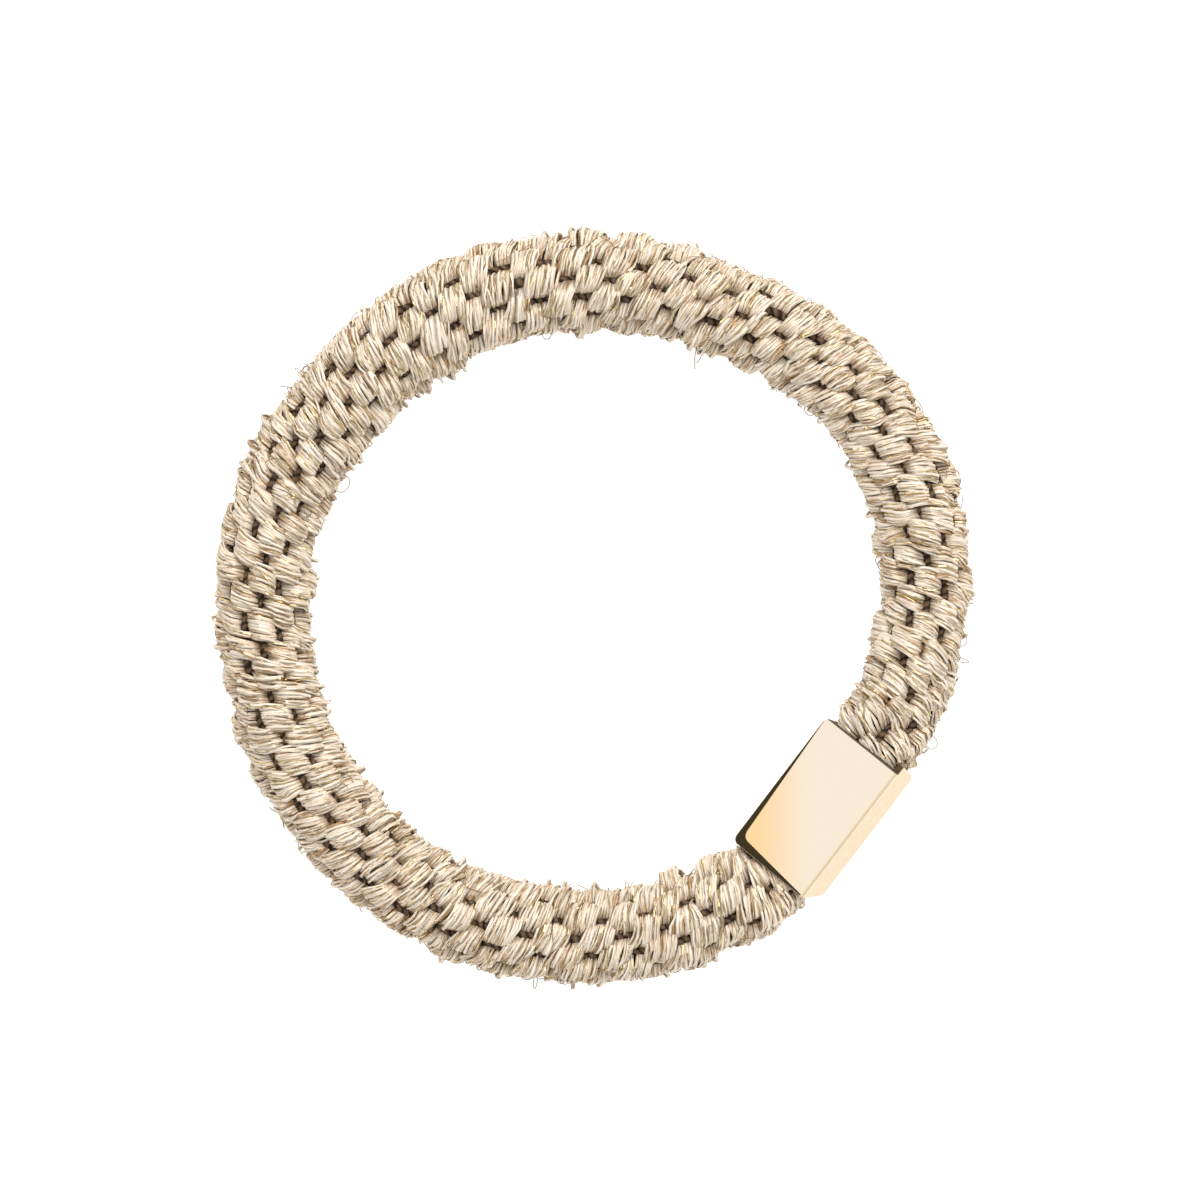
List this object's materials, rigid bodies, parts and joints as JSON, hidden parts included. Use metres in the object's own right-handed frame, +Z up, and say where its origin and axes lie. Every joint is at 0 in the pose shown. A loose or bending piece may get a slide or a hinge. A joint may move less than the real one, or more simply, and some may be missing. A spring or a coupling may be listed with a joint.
{
  "type": "hair tie",
  "caption": "Woven elastic hair tie lying flat: a soft round band whose ends are held in a small folded metal clasp.",
  "frame": {"origin": "bottom centre of the box round the hair tie as it lies flat", "axes": "+Z up through the ring, the metal clasp at -Y with its length along X and its raised end towards +X"},
  "size_m": [0.0594, 0.0578, 0.0082],
  "materials": {
    "yarn": "champagne beige satin yarn with fine gold metallic filaments, woven in short slanted stitches",
    "elastic": "matte grey brown elastic",
    "gold_metal": "pale gold plating, mirror polished on top and satin on the sides"
  },
  "bodies": {
    "root": {"woven_cover": "yarn", "elastic_core": "elastic", "clasp": "gold_metal"}
  },
  "joints": []
}
